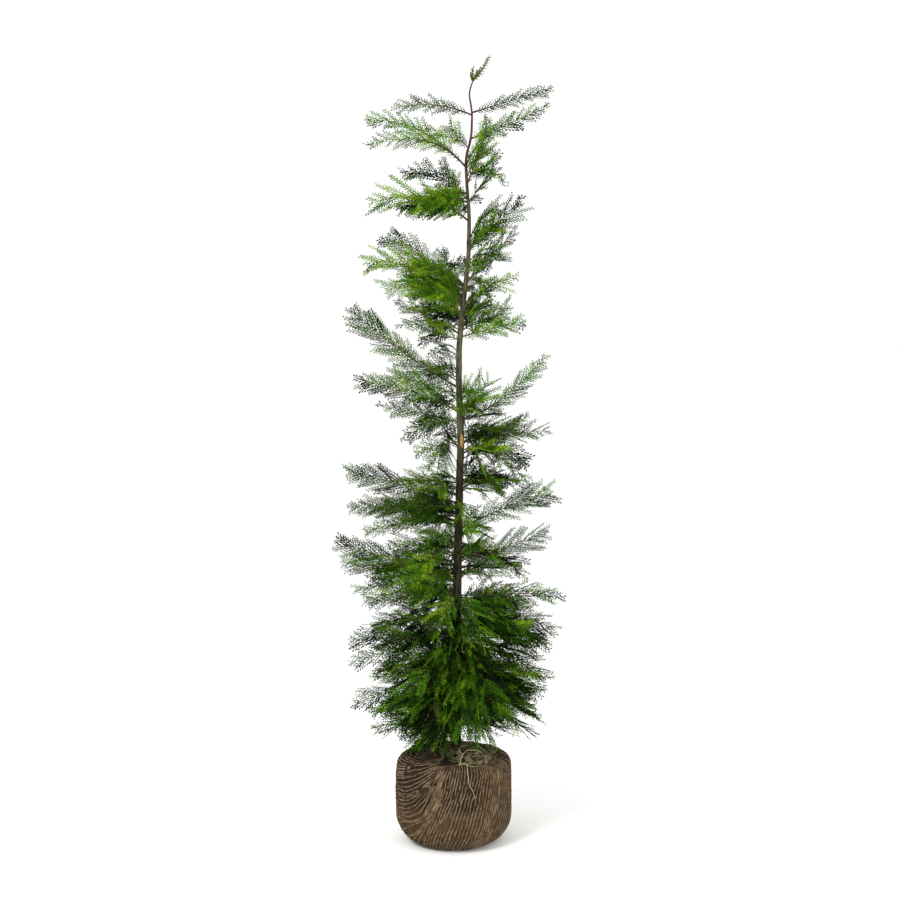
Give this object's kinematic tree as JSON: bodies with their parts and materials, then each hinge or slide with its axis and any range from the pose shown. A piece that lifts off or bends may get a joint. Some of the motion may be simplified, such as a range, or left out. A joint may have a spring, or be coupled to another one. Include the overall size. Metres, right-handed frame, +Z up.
{
  "type": "conifer sapling with root ball",
  "caption": "Slender evergreen sapling, feathery flat sprays round one thin trunk, standing on a root ball in a knitted jute net.",
  "frame": {"origin": "middle of the root ball's flat underside", "axes": "+Z up along the trunk, -Y the front, +X to the right seen from the front"},
  "size_m": [0.5784, 0.4601, 2.004],
  "materials": {
    "root_ball": "rough knitted jute over damp soil",
    "net_neck": "gathered loose jute netting",
    "bark": "dull grey-brown bark, red-brown towards the tip",
    "young_bark": "smooth red-brown young bark",
    "foliage": "matt scale leaves in flat feathery sprays"
  },
  "bodies": {
    "root": {"bough_01_right": "young_bark", "bough_05_left": "young_bark", "bough_06_right": "young_bark", "bough_21_right": "young_bark", "bough_27_left": "young_bark", "bough_29_right": "young_bark", "bough_33_front": "young_bark", "net_neck": "net_neck", "root_ball": "root_ball", "skirt_back_left_high": "foliage", "skirt_back_left_low": "foliage", "skirt_back_right_high": "foliage", "skirt_back_right_low": "foliage", "skirt_front_high": "foliage", "skirt_front_left_low": "foliage", "skirt_front_low": "foliage", "skirt_front_right_low": "foliage", "skirt_left_high": "foliage", "skirt_left_low": "foliage", "skirt_right_high": "foliage", "skirt_right_low": "foliage", "spray_00_leader": "foliage", "spray_01_right": "foliage", "spray_02_left": "foliage", "spray_03_right": "foliage", "spray_04_left": "foliage", "spray_05_left": "foliage", "spray_06_right": "foliage", "spray_07_left": "foliage", "spray_08_left": "foliage", "spray_09_right": "foliage", "spray_10_back": "foliage", "spray_11_right": "foliage", "spray_12_right": "foliage", "spray_13_left": "foliage", "spray_14_left": "foliage", "spray_15_back": "foliage", "spray_16_left": "foliage", "spray_17_right": "foliage", "spray_18_left": "foliage", "spray_19_right": "foliage", "spray_20_left": "foliage", "spray_21_right": "foliage", "spray_22_left": "foliage", "spray_23_right": "foliage", "spray_24_left": "foliage", "spray_25_back": "foliage", "spray_26_right": "foliage", "spray_27_left": "foliage", "spray_28_left": "foliage", "spray_29_right": "foliage", "spray_30_front": "foliage", "spray_31_right": "foliage", "spray_32_left": "foliage", "spray_33_front": "foliage", "spray_34_right": "foliage", "spray_35_right": "foliage", "spray_36_back": "foliage", "spray_37_left": "foliage", "trunk": "bark"}
  },
  "joints": []
}
